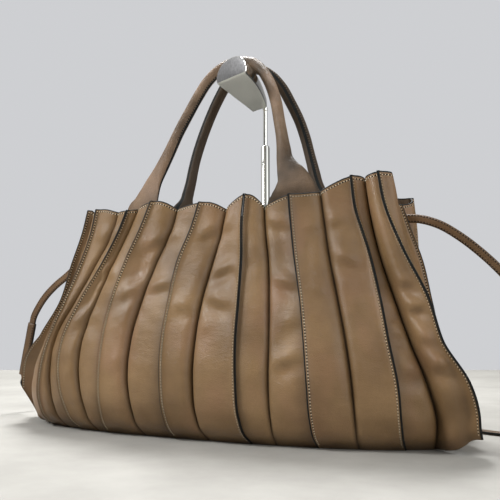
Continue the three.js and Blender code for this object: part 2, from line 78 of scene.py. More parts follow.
# The folds of the front between its corner ridges, right to left: x at each level, the height of the
# rim, and the angles by which a ridge leans over at LEAN_HEIGHTS, positive to the right.
LEAN_HEIGHTS = [0, 120, RIM_HEIGHT]
FRONT_FOLDS = table("kind foot hip belly flank waist chest neck rim top leans", [
    ["ridge", 184, 187, 186, 178, 169, 156, 143, 139, 234, [42, 24, -38]],
    ["valley", 147, 149, 147, 141, 132, 121, 114, 110, 221],
    ["ridge", 114, 115, 114, 110, 104, 95, 89, 86, 219, [-44, -60, -30]],
    ["valley", 77, 78, 77, 76, 73, 68, 62, 60, 208.5],
    ["ridge", 55, 53, 52, 50, 49, 47, 44, 45, 221, [60, 45, 14]],
    ["valley", 13, 8, 6, 6, 8, 14, 20, 23, 208],
    ["ridge", -22, -22, -23, -24, -22, -18, -7, -1, 216, [-50, -56, -30]],
    ["valley", -54, -59, -63, -62, -56, -46, -34, -29, 211],
    ["ridge", -98, -93, -92, -91, -87, -77, -63, -54, 220, [-50, -56, -24]],
    ["valley", -109, -115, -121, -120, -111, -97, -83, -73, 214],
    ["ridge", -132, -138, -144, -143, -129, -107, -91, -82, 213, [-50, -48, 26]],
    ["valley", -152, -157, -160, -157, -139, -121, -104, -98, 212],
    ["ridge", -178, -177, -173, -165, -152, -139, -130, -126, 217, [-34, -34, -6]],
])

# The folds of the two ends: plan position [x, y] at each level, the height of the rim, the bearing that
# the fold faces at LEAN_HEIGHTS, and for a corner ridge the width of its sewn wing at the foot, the lift
# of its hem at the seam and at the tip, and the share of the wing in which its front sheet lies flat.
END_COLUMNS = "kind foot hip belly flank waist chest neck rim top bearings wing hem_root hem_tip loose"
RIGHT_FRONT_FOLDS = table(END_COLUMNS, [
    ["valley", [207, -6], [218, -19], [207, -24], [192, -26], [183, -23], [177, -20], [171, -18],
     [165, -16], 233, [-18, -16, -15]],
    ["ridge", [247, -45], [246, -50], [240, -58], [221, -60], [209, -58], [187, -54], [171, -50],
     [165, -47], 235, [-40, -56, -99], 24, 12, 14, 0.4],
    ["valley", [204, -21], [209, -36], [204, -46], [190, -46], [176, -41], [161, -34], [152, -29],
     [148, -27], 231, [-62, -62, -62]],
])
LEFT_FRONT_FOLDS = table(END_COLUMNS, [
    ["valley", [-196, -26], [-197, -41], [-190, -50], [-173, -49], [-160, -43], [-150, -36],
     [-142, -30], [-136, -27], 213, [-120, -119, -118]],
    ["ridge", [-219, -42], [-219, -42], [-213, -45], [-194, -46], [-172, -43], [-160, -40],
     [-149, -37], [-144, -35], 218, [-142, -132, -122], 14, 10, 36],
    ["valley", [-212, -9], [-215, -20], [-209, -24], [-190, -24], [-172, -22], [-163, -19],
     [-154, -16], [-147, -14], 210, [-162, -164, -165]],
])
LEFT_END_FOLDS = table(END_COLUMNS, [
    ["ridge", [-215, 0], [-235, 0], [-228, 0], [-207, 0], [-188, 0], [-177, 0], [-168, 0],
     [-160, 0], 209, [180, 180, 180]],
])
RIGHT_REAR_FOLDS = table(END_COLUMNS, [
    ["valley", [193, 26], [197, 40], [194, 46], [180, 45], [169, 40], [159, 34], [152, 30],
     [148, 28], 222, [62, 62, 62]],
    ["ridge", [215, 42], [218, 47], [211, 53], [194, 54], [183, 52], [177, 50], [175, 48],
     [173, 45], 222, [40, 48, 58], 5, 6, 8],
    ["valley", [207, 6], [214, 18], [203, 24], [187, 24], [177, 22], [170, 20], [163, 17],
     [160, 16], 212, [18, 16, 15]],
])
RIGHT_END_FOLDS = table(END_COLUMNS, [
    ["ridge", [208, 0], [232, 0], [226, 0], [208, 0], [200, 0], [192, 0], [181, 0],
     [174, 0], 211, [0, 0, 0]],
])

# Soft dents pressed into the lobes (negative ones are fullnesses): middle, half sizes and depth.
DENTS = table("x y z half_width half_height depth", [
    [196, -50, 128, 18, 22, 6],
    [92, -65, 165, 16, 20, 4],
    [80, -85, 92, 14, 26, 4],
    [28, -69, 165, 14, 22, 4],
    [-62, -68, 160, 14, 20, 5],
    [-116, -71, 130, 14, 22, 4],
    [168, -27, 220, 9, 44, -15],
])

# Soft folds that lie across the lobes: middle, half length, half height, height and slant in degrees.
CROSS_FOLDS = table("x y z half_length half_height height slant", [
    [197, -58, 117, 17, 6.5, 2.6, 8],
    [190, -56, 137, 14, 6, 1.5, -6],
    [211, -60, 68, 22, 9, 3.0, 14],
    [203, -60, 92, 17, 6, 1.2, -8],
    [92, -78, 137, 15, 8, 2.4, -14],
    [104, -88, 106, 13, 8, 1.4, 12],
    [96, -90, 72, 16, 9, 2.0, 16],
    [78, -70, 190, 13, 6, 1.4, -18],
    [31, -76, 151, 15, 7, 2.2, 18],
    [30, -84, 121, 15, 8, 2.6, -12],
    [16, -68, 187, 14, 7, 1.6, 14],
    [-30, -80, 137, 16, 7, 2.4, 10],
    [-12, -84, 118, 14, 8, 1.4, -12],
    [-44, -70, 178, 15, 7, 1.6, 16],
    [136, -66, 158, 14, 8, 2.2, -16],
    [122, -62, 190, 14, 7, 1.4, 14],
    [-74, -80, 128, 14, 8, 1.6, 12],
    [-102, -76, 150, 13, 8, 1.6, -10],
    [-118, -80, 104, 14, 9, 1.5, 12],
])

HANDLE_SPLAY = {"angle": 9, "reach": 60}
HANDLE_COLUMNS = "x y z width thickness"
FRONT_HANDLE = table(HANDLE_COLUMNS, [
    [88, -40.2, 200, 44, 2.5],
    [85.8, -40.1, 211, 50, 2.5],
    [86, -40, 219, 44, 2.5],
    [85.4, -39.6, 226.5, 38.6, 2.7],
    [82.6, -37.4, 235.5, 30.4, 3.2],
    [77, -33.4, 245, 21.6, 4.4],
    [72, -28.6, 255, 15.8, 6.8],
    [69, -24, 266, 13.5, 9.5],
    [65, -18.6, 280, 11.6, 11],
    [60.5, -13, 294, 11, 11],
    [52, -3, 319, 11, 11],
    [41, 6, 341, 11, 11],
    [29, 13, 357, 11, 11],
    [18, 16.5, 365.4, 11, 11],
    [5.6, 17.5, 368.1, 11, 11],
    [-8, 16.5, 366.9, 11, 11],
    [-19, 14, 361, 11, 11],
    [-28, 10, 351, 11, 11],
    [-36, 3, 334, 11, 11],
    [-44, -5, 313, 11, 11],
    [-51, -14.5, 290, 11.2, 11],
    [-56.2, -22.5, 270, 13, 10.4],
    [-61, -30, 253, 16, 8],
    [-64.5, -35.8, 241, 19.5, 5],
    [-67.4, -40, 229, 25.5, 3],
    [-70, -41.6, 220, 31, 2.6],
    [-73.2, -41.9, 211, 40, 2.5],
    [-74, -42.1, 200, 40, 2.5],
])
REAR_HANDLE = table(HANDLE_COLUMNS, [
    [88, 40.2, 200, 44, 2.5],
    [87.5, 40.2, 208, 46, 2.5],
    [86, 40.5, 215, 41, 2.6],
    [83, 41.6, 223, 29, 3.6],
    [80, 43.1, 231, 18, 6],
    [76.8, 45, 240, 13.4, 9],
    [72.3, 47.8, 255, 11.8, 11],
    [67, 50.2, 273, 11, 11],
    [61.5, 52.5, 291, 11, 11],
    [54, 54, 311, 11, 11],
    [45, 53, 330, 11, 11],
    [36, 50, 347, 11, 11],
    [25, 46.5, 360, 11, 11],
    [13, 45.2, 366.9, 11, 11],
    [1, 45, 368.2, 11, 11],
    [-13, 46, 365.8, 11, 11],
    [-26, 48.5, 357, 11, 11],
    [-38, 52, 343, 11, 11],
    [-49, 55, 326, 11, 11],
    [-58.5, 54.5, 304, 11, 11],
    [-64.5, 52.4, 284, 11, 11],
    [-68, 50.2, 267, 11.2, 11],
    [-70, 48, 252, 11.6, 11],
    [-71.6, 46, 242, 12.6, 9.4],
    [-73, 44.2, 233, 15, 6.6],
    [-74.6, 42.8, 224, 27, 3.8],
    [-76, 42, 216, 39, 2.7],
    [-76.8, 41.9, 208, 44, 2.5],
    [-77, 42.1, 200, 42, 2.5],
])

STRAP = {"width": 8, "thickness": 3.4}
STRAP_COLUMNS = "x y z roll"
LONG_STRAP = table(STRAP_COLUMNS, [
    [166.9, 19.5, 200, 0],
    [185, 20, 199, 0],
    [203, 20, 193, 0],
    [219, 20, 183, 0],
    [238, 20, 167.5, 0],
    [256, 20, 149.5, 0],
    [276, 21, 124, 2],
    [295, 26, 97, 8],
    [309, 32, 70, 18],
    [317, 41, 45, 32],
    [318, 53, 25, 50],
    [311, 66, 11, 70],
    [299, 73.6, 4, 84],
    [284, 74.6, 2.1, 90],
    [268, 74.8, 2, 90],
    [250, 73, 2, 90],
    [231, 79, 2, 90],
    [207, 97, 2, 90],
    [178, 128, 2, 90],
    [136, 165, 2, 90],
    [76, 198, 2, 90],
    [0, 209, 2, 90],
    [-80, 202, 2, 90],
    [-152, 174, 2, 90],
    [-196, 140, 2.2, 88],
    [-222, 108, 3.8, 76],
    [-240, 82, 7, 58],
    [-254, 60, 11.5, 38],
    [-264, 42, 18.5, 18],
    [-271, 29, 26, 5],
    [-273, 22, 35, 0],
    [-271.6, 20.5, 43.5, 0],
])
SHORT_STRAP = table(STRAP_COLUMNS, [
    [-259.7, 20.1, 98, 0],
    [-257.3, 20, 107.5, 0],
    [-251, 20, 118.5, 0],
    [-241.5, 20, 130.5, 0],
    [-228, 20, 142.5, 0],
    [-212, 20, 153.5, 0],
    [-197, 20, 165, 0],
    [-183, 19.8, 178, 0],
    [-171, 19.2, 190, 0],
    [-159.8, 18.5, 196, 0],
])
SLEEVE = {"width": 10.4, "thickness": 4.8}
SLEEVE_ROUTE = table(STRAP_COLUMNS, [
    [-271.8, 20.6, 42.2, 0],
    [-268.6, 20.4, 57, 0],
    [-265.5, 20.3, 71.4, 0],
    [-262.3, 20.1, 86, 0],
    [-259.2, 20, 100.6, 0],
])

ARM_UNDERSIDE = 341
ARM_SKEW = -0.58
ARM_POWER = 2.4
ARM_BULGE = 0.05
ARM_CHAMFER = 0.04  # share of the section that the chamfer of each lower edge takes
ARM_SECTIONS = table("x y half_width height", [
    [11.2, -18.7, 21.8, 20.6],
    [7, 10, 21, 20.6],
    [1.6, 39, 19.2, 20.6],
    [-5.6, 72, 15.6, 20.6],
    [-13.6, 105, 11.6, 19],
])
COLLAR = {"radius": 2.7, "bottom": 337.5, "top": 341}
STEM = {"x": -5, "y": 101, "rod": 2.4, "tube": 4.9, "tube_top": 298, "foot": 6.3, "top": 337.2}
PLATE = {"x": -5, "y": 134, "length": 110, "depth": 100, "thickness": 6, "corner": 8, "round": 1.2}


# General helpers


def mix(a, b, share):
    return a + (b - a) * share


# A smooth curve through the values at the knots, for an array of places.
def spline(knots, values, places):
    values = np.asarray(values, float)
    slopes = np.gradient(values, knots, axis=0)
    cell = np.clip(np.searchsorted(knots, places, side="right") - 1, 0, len(knots) - 2)
    width = knots[cell + 1] - knots[cell]
    t = (places - knots[cell]) / width
    if values.ndim > 1:
        width = width[:, None]
        t = t[:, None]
    start = values[cell] * (2 * t**3 - 3 * t**2 + 1) + slopes[cell] * width * (t**3 - 2 * t**2 + t)
    end = values[cell + 1] * (3 * t**2 - 2 * t**3) + slopes[cell + 1] * width * (t**3 - t**2)
    return start + end


def unit(vectors):
    length = np.linalg.norm(vectors, axis=-1, keepdims=True)
    return vectors / np.maximum(length, 1e-9)


def bearing_vector(degrees):
    angle = np.radians(degrees)
    return np.stack([np.cos(angle), np.sin(angle)], -1)


def dot(a, b):
    return (a * b).sum(-1)


# Makes a mesh object in metres; shade holds three numbers for each vertex, which the leather reads.
def make_object(name, points, faces, materials, material_index=None, shade=None):
    mesh = bpy.data.meshes.new(name)
    mesh.from_pydata((np.asarray(points, float) * MM).tolist(), [], faces)
    for material in materials:
        mesh.materials.append(material)
    if material_index is not None:
        mesh.polygons.foreach_set("material_index", material_index)
    if shade is not None:
        attribute = mesh.color_attributes.new("shade", "FLOAT_COLOR", "POINT")
        colours = np.ones((len(points), 4), np.float32)
        colours[:, :3] = shade
        attribute.data.foreach_set("color", colours.ravel())
    mesh.polygons.foreach_set("use_smooth", [True] * len(mesh.polygons))
    mesh.validate()
    mesh.update()
    made = bpy.data.objects.new(name, mesh)
    bpy.context.scene.collection.objects.link(made)
    return made


def dress(piece, slot, *nodes):
    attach(piece, "root")
    if nodes:
        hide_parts(*nodes)


# Quads between neighbouring rings of a grid whose vertices are numbered row by row.
def ring_faces(rings, sides):
    faces = []
    for j in range(rings - 1):
        for k in range(sides):
            after = (k + 1) % sides
            faces.append((j * sides + k, j * sides + after, (j + 1) * sides + after, (j + 1) * sides + k))
    return faces


# Materials


class Nodes:
    """A short way to add and link shader nodes in one material."""

    def __init__(self, name):
        self.material = bpy.data.materials.new(name)
        self.material.use_nodes = True
        self.tree = self.material.node_tree
        self.shader = self.tree.nodes["Principled BSDF"]
        self.place = self.add("ShaderNodeTexCoord").outputs["Object"]

    def add(self, kind, **settings):
        node = self.tree.nodes.new(kind)
        for key, value in settings.items():
            setattr(node, key, value)
        return node

    def link(self, value, socket):
        if isinstance(value, bpy.types.NodeSocket):
            self.tree.links.new(value, socket)
        else:
            socket.default_value = value

    def scaled(self, x, y, z):
        node = self.add("ShaderNodeMapping")
        self.link(self.place, node.inputs["Vector"])
        node.inputs["Scale"].default_value = (x, y, z)
        return node.outputs["Vector"]

    def noise(self, vector, scale, detail=2.0, roughness=0.5, distortion=0.0):
        node = self.add("ShaderNodeTexNoise")
        self.link(vector, node.inputs["Vector"])
        node.inputs["Scale"].default_value = scale
        node.inputs["Detail"].default_value = detail
        node.inputs["Roughness"].default_value = roughness
        node.inputs["Distortion"].default_value = distortion
        return node.outputs["Fac"]

    def cells(self, vector, scale, feature="DISTANCE_TO_EDGE"):
        node = self.add("ShaderNodeTexVoronoi", feature=feature)
        self.link(vector, node.inputs["Vector"])
        node.inputs["Scale"].default_value = scale
        return node.outputs["Distance"]

    def math(self, operation, a, b=0.0):
        node = self.add("ShaderNodeMath", operation=operation)
        self.link(a, node.inputs[0])
        self.link(b, node.inputs[1])
        return node.outputs[0]

    def remap(self, value, low, high, to_low=0.0, to_high=1.0):
        node = self.add("ShaderNodeMapRange")
        self.link(value, node.inputs["Value"])
        node.inputs["From Min"].default_value = low
        node.inputs["From Max"].default_value = high
        node.inputs["To Min"].default_value = to_low
        node.inputs["To Max"].default_value = to_high
        return node.outputs["Result"]

    def blend(self, share, a, b, mode="MIX"):
        node = self.add("ShaderNodeMix", data_type="RGBA", blend_type=mode)
        self.link(share, node.inputs["Factor"])
        self.link(a, node.inputs[6])
        self.link(b, node.inputs[7])
        return node.outputs[2]

    def bump(self, height, distance, strength=1.0, normal=None):
        node = self.add("ShaderNodeBump")
        self.link(height, node.inputs["Height"])
        node.inputs["Distance"].default_value = distance * MM
        node.inputs["Strength"].default_value = strength
        if normal is not None:
            self.link(normal, node.inputs["Normal"])
        return node.outputs["Normal"]

    def shade(self):
        node = self.add("ShaderNodeVertexColor", layer_name="shade")
        parts = self.add("ShaderNodeSeparateColor")
        self.link(node.outputs["Color"], parts.inputs["Color"])
        return parts.outputs["Red"], parts.outputs["Green"], parts.outputs["Blue"]

    def set(self, name, value):
        self.link(value, self.shader.inputs[name])


# Grain of small cells with fine pores, and faint wrinkles, as a normal.
def leather_normal(nodes, grain, scale, wrinkle, wrinkle_scale=(1, 1, 2.2)):
    warp = nodes.noise(nodes.place, 260, 2)
    grain_cells = nodes.cells(nodes.place, scale)
    pores = nodes.noise(nodes.place, 2 * scale, 3, 0.6)
    height = nodes.math("ADD", nodes.remap(grain_cells, 0, 0.35), nodes.math("MULTIPLY", pores, 0.6))
    height = nodes.math("ADD", height, nodes.math("MULTIPLY", warp, 0.5))
    fine = nodes.bump(height, grain)
    creases = nodes.noise(nodes.scaled(*wrinkle_scale), 95, 4, 0.55, 0.6)
    return nodes.bump(creases, wrinkle, 1.0, fine)


def make_leather(name, light, dark, blush, rough, gloss, grain, scale, wrinkle):
    nodes = Nodes(name)
    crease_shade, edge, tone = nodes.shade()
    clouds = nodes.remap(nodes.noise(nodes.place, 17, 3, 0.55), 0.36, 0.66)
    warm = nodes.remap(nodes.noise(nodes.scaled(1, 1, 0.7), 23, 2, 0.5, 0.4), 0.5, 0.72)
    fine = nodes.remap(nodes.noise(nodes.place, 620, 3, 0.65), 0.35, 0.65)
    colour = nodes.blend(clouds, dark, light)
    colour = nodes.blend(nodes.math("MULTIPLY", warm, 0.55), colour, blush)
    colour = nodes.blend(nodes.math("MULTIPLY", fine, 0.22), colour, dark)
    # Tone darkens by a random amount from panel to panel; on the rear handle it is painted shade.
    colour = nodes.blend(nodes.math("MULTIPLY", tone, 0.6), colour, dark)
    shadow = tuple(0.16 * value for value in dark[:3]) + (1,)
    # Painted shade: the first channel darkens creases, stitch grooves and lobes under fins; the second darkens the
    # panels' foot, and on handles and strap it colours their dark painted edges.
    colour = nodes.blend(nodes.math("MULTIPLY", crease_shade, 0.94), colour, shadow)
    colour = nodes.blend(nodes.math("MULTIPLY", edge, 0.7), colour, shadow)
    nodes.set("Base Color", colour)
    polish = nodes.remap(nodes.noise(nodes.place, 60, 3, 0.55), 0.3, 0.7, rough - 0.05, rough + 0.08)
    nodes.set("Roughness", nodes.math("ADD", polish, nodes.math("MULTIPLY", crease_shade, 0.25)))
    nodes.set("Specular IOR Level", gloss)
    nodes.set("Normal", leather_normal(nodes, grain, scale, wrinkle))
    return nodes.material


def make_edge_paint():
    nodes = Nodes("edge_paint")
    worn = nodes.remap(nodes.noise(nodes.place, 240, 3, 0.6), 0.55, 0.75)
    nodes.set("Base Color", nodes.blend(worn, (0.006, 0.008, 0.008, 1), (0.022, 0.027, 0.027, 1)))
    nodes.set("Roughness", 0.6)
    nodes.set("Specular IOR Level", 0.22)
    nodes.set("Normal", nodes.bump(nodes.noise(nodes.place, 700, 3), 0.12))
    return nodes.material


def make_flesh():
    nodes = Nodes("leather_inside")
    nap = nodes.noise(nodes.place, 1300, 4, 0.7)
    shade = nodes.remap(nodes.noise(nodes.place, 40, 3), 0.35, 0.65)
    colour = nodes.blend(shade, (0.07, 0.047, 0.03, 1), (0.105, 0.07, 0.045, 1))
    nodes.set("Base Color", colour)
    nodes.set("Roughness", 0.9)
    nodes.set("Specular IOR Level", 0.2)
    nodes.set("Normal", nodes.bump(nap, 0.12))
    return nodes.material


def make_thread(name, low, high):
    nodes = Nodes(name)
    strands = nodes.noise(nodes.place, 2400, 2)
    colour = nodes.blend(strands, low, high)
    nodes.set("Base Color", colour)
    nodes.set("Roughness", 0.6)
    nodes.set("Normal", nodes.bump(strands, 0.05))
    return nodes.material


# A near-black bead of painted shade for the dark inside of a needle hole.
def make_hole_shade():
    nodes = Nodes("needle_hole_shade")
    depth = nodes.noise(nodes.place, 900, 2)
    nodes.set("Base Color", nodes.blend(depth, (0.006, 0.004, 0.003, 1), (0.015, 0.01, 0.006, 1)))
    nodes.set("Roughness", 0.9)
    return nodes.material


def make_metal(name, colour, rough, brushed=None, smudge=0.05):
    nodes = Nodes(name)
    marks = nodes.remap(nodes.noise(nodes.place, 45, 4, 0.6), 0.35, 0.7, 0, smudge)
    nodes.set("Metallic", 1.0)
    if brushed is None:
        nodes.set("Base Color", colour)
        nodes.set("Roughness", nodes.math("ADD", marks, rough))
        nodes.set("Normal", nodes.bump(nodes.noise(nodes.place, 40, 2), 0.012))
        return nodes.material
    lines = nodes.noise(nodes.scaled(*brushed), 420, 3, 0.65)
    darker = tuple(0.68 * value for value in colour[:3]) + (1,)
    nodes.set("Base Color", nodes.blend(nodes.remap(lines, 0.3, 0.7), darker, colour))
    nodes.set("Roughness", nodes.math("ADD", marks, rough))
    nodes.set("Normal", nodes.bump(lines, 0.025))
    return nodes.material


LEATHER = make_leather(
    "bag_leather", (0.288, 0.178, 0.083, 1), (0.17, 0.1, 0.044, 1), (0.29, 0.158, 0.088, 1),
    rough=0.36, gloss=0.42, grain=0.1, scale=900, wrinkle=0.32,
)
HANDLE_LEATHER = make_leather(
    "handle_leather", (0.27, 0.178, 0.11, 1), (0.045, 0.029, 0.016, 1), (0.25, 0.155, 0.096, 1),
    rough=0.5, gloss=0.26, grain=0.16, scale=620, wrinkle=0.3,
)
STRAP_LEATHER = make_leather(
    "strap_leather", (0.19, 0.112, 0.055, 1), (0.11, 0.063, 0.03, 1), (0.17, 0.095, 0.048, 1),
    rough=0.42, gloss=0.3, grain=0.07, scale=900, wrinkle=0.25,
)
EDGE_PAINT = make_edge_paint()
FLESH = make_flesh()
LIGHT_THREAD = make_thread("light_thread", (0.62, 0.5, 0.33, 1), (0.85, 0.74, 0.54, 1))
DARK_THREAD = make_thread("dark_thread", (0.1, 0.066, 0.038, 1), (0.19, 0.13, 0.08, 1))
HOLE_SHADE = make_hole_shade()
POLISHED = make_metal("polished_steel", (0.78, 0.79, 0.77, 1), 0.03, smudge=0.03)
BRUSHED = make_metal("brushed_steel", (0.27, 0.27, 0.275, 1), 0.5, (0.8, 1, 0.8))
SATIN = make_metal("satin_steel", (0.9, 0.9, 0.83, 1), 0.3, (22, 1, 1))


# Stitches


class StitchBatch:
    """Many small stitches, with a bead of painted shade for the dark needle hole between neighbours, gathered into
    one mesh.
    """

    SIDES = 5

    def __init__(self, thread):
        self.thread = thread
        self.points = []
        self.faces = []
        self.index = []

    def add_bead(self, middle, along, wide, up, length, width, height, material):
        first = len(self.points)
        self.points.append(middle - along * length / 2)
        for share in (-0.3, 0.3):
            for k in range(self.SIDES):
                angle = 2 * math.pi * k / self.SIDES
                ring = wide * math.cos(angle) * width + up * math.sin(angle) * height
                self.points.append(middle + along * share * length + ring)
        self.points.append(middle + along * length / 2)
        last = len(self.points) - 1
        for k in range(self.SIDES):
            after = (k + 1) % self.SIDES
            near, far = first + 1, first + 1 + self.SIDES
            self.faces.append((first, near + after, near + k))
            self.faces.append((near + k, near + after, far + after, far + k))
            self.faces.append((last, far + k, far + after))
            self.index += [material] * 3

    def add_line(self, path, normals, pitch=THREAD["pitch"], lift=0.05, holes=True):
        steps = np.linalg.norm(np.diff(path, axis=0), axis=1)
        reach = np.concatenate([[0], np.cumsum(steps)])
        count = int(reach[-1] / pitch)
        if count < 2:
            return
        spread = reach[-1] / count

        def sample(values, places):
            return np.stack([np.interp(places, reach, values[:, axis]) for axis in range(3)], -1)

        for share, is_hole in ((0.5, False), (1.0, True)):
            if is_hole and not holes:
                continue
            places = (np.arange(count) + share) * spread
            places = places[places < reach[-1]]
            middles = sample(path, places)
            along = unit(sample(path, places + 0.4) - sample(path, places - 0.4))
            up = sample(normals, places)
            up = unit(up - along * dot(up, along)[:, None])
            wide = np.cross(up, along)
            for i in range(len(places)):
                if is_hole:
                    self.add_bead(middles[i], along[i], wide[i], up[i], 1.5, 0.8, 0.16, 1)
                else:
                    at = middles[i] + up[i] * lift
                    self.add_bead(at, along[i], wide[i], up[i], THREAD["length"], THREAD["radius"], 0.26, 0)

    def finish(self, name, slot):
        made = make_object(name, self.points, self.faces, [self.thread, HOLE_SHADE], self.index)
        dress(made, slot)
        return made


# The pleated panels


def row_heights():
    foot = 24 * np.linspace(0, 1, 13) ** 1.4
    body = np.linspace(27, 218.5, 62)
    rim = np.array([220.4, 222.0, 223.8, 224.4, RIM_HEIGHT])
    return np.concatenate([foot, body, rim])


def level_curves(z):
    names = "half_length half_depth pleat flange wing wall roundness".split()
    curves = {name: spline(KNOTS, [row[name] for row in LEVELS], z) for name in names}
    curves["z"] = z
    return curves


# A fold's column at each level; a level with a share lies between the foot and the hip.
def fold_columns(fold):
    columns = []
    for level in LEVELS:
        share = level.get("share")
        if share is None:
            columns.append(fold[level["name"]])
        else:
            columns.append(mix(np.asarray(fold["foot"], float), np.asarray(fold["hip"], float), share))
    return columns


def outline_y(curves, x, inset):
    reach = np.clip(np.abs(x) / (curves["half_length"] - inset), 0, 0.999)
    return -(curves["half_depth"] - inset) * (1 - reach**OUTLINE_POWER) ** (1 / OUTLINE_POWER)


# The outward direction of the plan outline at points of its front half, turned by the lean.
def outline_direction(curves, x, y, lean):
    def slope(value, half):
        return np.sign(value) * np.abs(value / half) ** (OUTLINE_POWER - 1) / half

    along_x = slope(x, curves["half_length"])
    along_y = slope(y, curves["half_depth"])
    return bearing_vector(np.degrees(np.arctan2(along_y, along_x)) + lean)


# Height of a fold: the rise or dip of its rim fades out downwards, its hem's lift upwards.
def fold_height(fold, z, hem):
    rise = (fold["top"] - RIM_HEIGHT) * (z / RIM_HEIGHT) ** 3
    return z + rise + hem * np.maximum(0, 1 - z / HEM_HEIGHT)


# Where a fold lies at each height: its plan points, the directions that it faces, and its heights.
def place_fold(fold, curves):
    z = curves["z"]
    value = spline(KNOTS, fold_columns(fold), z)
    if value.ndim == 2:
        at = value
        out = bearing_vector(np.interp(z, LEAN_HEIGHTS, fold["bearings"]))
        face = out
        lean = np.zeros(len(z))
    else:
        inset = curves["pleat"] if fold["kind"] == "valley" else 0
        y = outline_y(curves, value, inset)
        lean = np.interp(z, LEAN_HEIGHTS, fold.get("leans", [0, 0, 0]))
        at = np.stack([value, y], -1)
        out = outline_direction(curves, value, y, lean)
        face = outline_direction(curves, value, y, 0)
    if fold.get("mirrored"):
        at, out, face = at * (1, -1), out * (1, -1), face * (1, -1)
    flange = curves["flange"] + fold.get("wing", 0) * curves["wing"]
    return {
        "at": at,
        "out": out,
        "face": face,
        "lean": lean,
        "flange": flange,
        "loose": fold.get("loose", 1),
        "side": np.stack([out[:, 1], -out[:, 0]], -1),
        "z": fold_height(fold, z, fold.get("hem_tip", 0)),
        "seam_z": fold_height(fold, z, fold.get("hem_root", 0)),
    }


# How far the lobes are pressed in; the rear has the same dents and folds turned half round.
def pressed_in(x, y, z):
    turn = 1 if y < 0 else -1
    x, y = turn * x, turn * y
    depth = 0.0
    for dent in DENTS:
        aside = math.hypot(x - dent["x"], y - dent["y"]) / dent["half_width"]
        above = (z - dent["z"]) / dent["half_height"]
        depth += dent["depth"] * math.exp(-(aside**2) - above**2)
    for fold in CROSS_FOLDS:
        aside = (x - fold["x"]) / fold["half_length"]
        rise = math.tan(math.radians(fold["slant"])) * (x - fold["x"])
        above = (z - fold["z"] - rise) / fold["half_height"]
        if abs(aside) < 2.5 and abs(above) < 3.5:
            near = math.exp(-(aside**2) - ((y - fold["y"]) / 30) ** 2)
            depth -= 2.3 * fold["height"] * near * above * math.exp(0.5 - above**2)
    return depth


# Natural unevenness of the hide: broad swells and low creases that run across the lobes.
def unevenness(x, y, z):
    swell = noise.noise(Vector((x / 34, y / 34, z / 46)))
    mask = max(0.0, noise.noise(Vector((x / 40 + 7, y / 40, z / 32 - 5))) + 0.12)
    across = noise.noise(Vector((x / 28 - 3, y / 28, z / 15)))
    return 1.7 * swell + 4.4 * mask * across


LOBE_STEPS = (1 - FILLET) * np.linspace(0, 1, 14) ** 1.25
CREASE_STEPS = [(0.0, 0.0), (0.7, 0.3)]  # lateral and outward place at the bottom of a valley, in gaps
FILLET_STEPS = [0.2, 0.4, 0.6, 0.8]
EDGE_STEPS = [EDGE_SEAM, 1.0, RAW_EDGE, 0.0]  # distances from the raw edge
SEAM_COLUMN = len(CREASE_STEPS) + len(LOBE_STEPS) + len(FILLET_STEPS)  # counted from the valley
HALF_COLUMNS = SEAM_COLUMN + len(EDGE_STEPS)


# One half of a panel's middle line at every height: from the valley's bottom to the raw edge.
def panel_half(valley, ridge, sign, curves):
    flange, seam_z = ridge["flange"], ridge["seam_z"]
    if sign > 0 and ridge["loose"] < 1:
        flange = np.maximum(flange * ridge["loose"], 4.4)
        seam_z = mix(ridge["z"], seam_z, flange / ridge["flange"])
    half_seam = (FIN_WALL + GAP) / 2
    seam = ridge["at"] - ridge["out"] * flange[:, None] + ridge["side"] * sign * half_seam
    outward = unit(valley["face"] + ridge["face"])
    across = seam - valley["at"]
    depth = dot(across, outward)
    across = across - outward * depth[:, None]
    width = np.linalg.norm(across, axis=1)
    across = unit(across)
    roundness = (3.2 if sign > 0 else 2.2) + 1.4 * curves["roundness"]
    fullness = 1 / (1 + 0.25 * (roundness - 1))
    upper = (curves["z"] / RIM_HEIGHT) ** 3

    columns = []
    gap = np.minimum(CREASE_GAP, 0.12 * width)
    for aside, up in CREASE_STEPS:
        columns.append((aside * gap, up * gap, 0.0))
    for t in LOBE_STEPS:
        steep = np.maximum(1 - (1 - t) ** roundness, 1e-9) ** fullness
        rise = mix(steep, 1 - (1 - t) ** 2, 0.16)
        columns.append((gap + (width - gap) * t, gap + (depth - gap) * rise, t))

    lines = []
    for aside, up, t in columns:
        plan = valley["at"] + across * aside[:, None] + outward * up[:, None]
        share = aside / width
        arched = mix(share, 1 - (1 - share) ** (1.3 if sign > 0 else 2.4), upper)
        z = mix(valley["z"], seam_z, arched)
        envelope = math.sin(math.pi * t) ** 0.8 * (1 - 0.5 * t * t) if t > 0 else 0.0
        if envelope > 0:
            fade = np.minimum(1, z / 14) * envelope
            push = np.array([unevenness(*p, h) - pressed_in(*p, h) for p, h in zip(plan, z)])
            plan = plan + outward * (push * fade)[:, None]
        lines.append(np.column_stack([plan, z]))

    corner = np.column_stack([seam, seam_z])
    edge = []
    for distance in EDGE_STEPS:
        share = 1 - distance / flange
        plan = seam + ridge["out"] * (share * flange)[:, None]
        edge.append(np.column_stack([plan, mix(seam_z, ridge["z"], share)]))
    start = lines[-1]
    for t in FILLET_STEPS:
        lines.append(start * (1 - t) ** 2 + corner * 2 * t * (1 - t) + edge[0] * t**2)
    return np.stack(lines + edge, 1)


# Moves each point of a grid's rows sideways in plan, to the left of the row's direction.
def offset_grid(grid, distance):
    step = np.diff(grid[..., :2], axis=1)
    left = unit(np.stack([-step[..., 1], step[..., 0]], -1))
    before = np.concatenate([left[:, :1], left], 1)
    after = np.concatenate([left, left[:, -1:]], 1)
    corner = unit(before + after)
    reach = distance / np.maximum(MITER_LIMIT, dot(corner, before))
    moved = grid.copy()
    moved[..., :2] += corner * reach[..., None]
    return moved, corner


